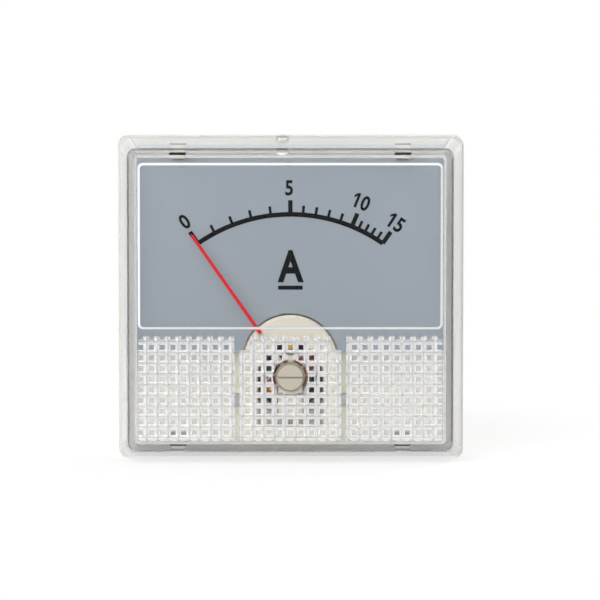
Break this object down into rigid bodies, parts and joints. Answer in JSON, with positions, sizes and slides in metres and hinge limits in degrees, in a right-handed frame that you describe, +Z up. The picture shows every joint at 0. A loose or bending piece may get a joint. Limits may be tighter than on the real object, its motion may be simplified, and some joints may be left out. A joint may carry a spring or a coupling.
{
  "type": "analog panel meter",
  "caption": "Moving-coil panel ammeter with a clear drafted cover, prism-grid lower front, red pointer, round rear case, two terminals and mounting studs",
  "frame": {"origin": "centre of the seat plane, where the flange rests on the panel", "axes": "+Z up, the dial faces -Y and the round case points along +Y"},
  "size_m": [0.064, 0.0615, 0.0602],
  "materials": {
    "clear_polystyrene": "gloss",
    "dial_enamel": "satin",
    "dial_ink": "satin",
    "ivory_abs": "satin",
    "shroud_abs": "satin",
    "zinc_steel": "satin",
    "soft_iron": "satin",
    "magnet_alloy": "matte",
    "bridge_nickel": "satin",
    "brass": "satin",
    "spring_bronze": "satin",
    "manganin": "satin",
    "red_pvc": "satin",
    "black_pvc": "satin",
    "pointer_paint": "satin",
    "bare_aluminium": "satin",
    "enamelled_copper": "satin",
    "pivot_steel": "polished",
    "adjuster_abs": "satin"
  },
  "bodies": {
    "root": {"front_cover": "clear_polystyrene", "dial_plate": "dial_enamel", "scale_marks": "dial_ink", "rear_case": "ivory_abs", "movement_frame": "ivory_abs", "movement_shroud": "shroud_abs", "frame_screws": "zinc_steel", "yoke_ring": "soft_iron", "core_magnet": "magnet_alloy", "core_keys": "brass", "front_bridge": "bridge_nickel", "rear_bridge": "brass", "front_jewel_screw": "brass", "rear_jewel_screw": "brass", "rear_hairspring": "spring_bronze", "rear_spring_stud": "brass", "pointer_stops": "zinc_steel", "shunt_bar": "manganin", "positive_lead": "red_pvc", "negative_lead": "black_pvc", "positive_terminal": "brass", "negative_terminal": "brass", "terminal_washers": "brass", "terminal_spring_washers": "zinc_steel", "terminal_nuts": "brass", "mounting_studs": "zinc_steel"},
    "needle": {"pointer": "pointer_paint", "balance_weights": "brass", "pointer_hub": "bare_aluminium", "moving_coil": "enamelled_copper", "coil_former": "bare_aluminium", "front_staff": "pivot_steel", "rear_staff": "pivot_steel", "spring_collets": "brass"},
    "zero_arm": {"zero_lever": "bridge_nickel", "front_hairspring": "spring_bronze"},
    "adjuster": {"zero_adjuster": "adjuster_abs"}
  },
  "joints": [
    {"name": "pointer_swing", "type": "hinge", "parent": "root", "child": "needle", "pos_m": [0, -0.009, -0.014], "axis": [0, 1, 0], "range_deg": [-2, 72], "stiffness_Nm_per_rad": 0.000015, "deforming": ["front_hairspring", "rear_hairspring"]},
    {"name": "zero_turn", "type": "hinge", "parent": "root", "child": "adjuster", "pos_m": [0, -0.013, -0.014], "axis": [0, 1, 0], "range_deg": [-15, 15]},
    {"name": "lever_turn", "type": "hinge", "parent": "root", "child": "zero_arm", "pos_m": [0, -0.0112, -0.014], "axis": [0, 1, 0], "range_deg": [-15, 15]}
  ],
  "couplings": [
    {"joint": "lever_turn", "follows": "zero_turn", "ratio": 1}
  ]
}
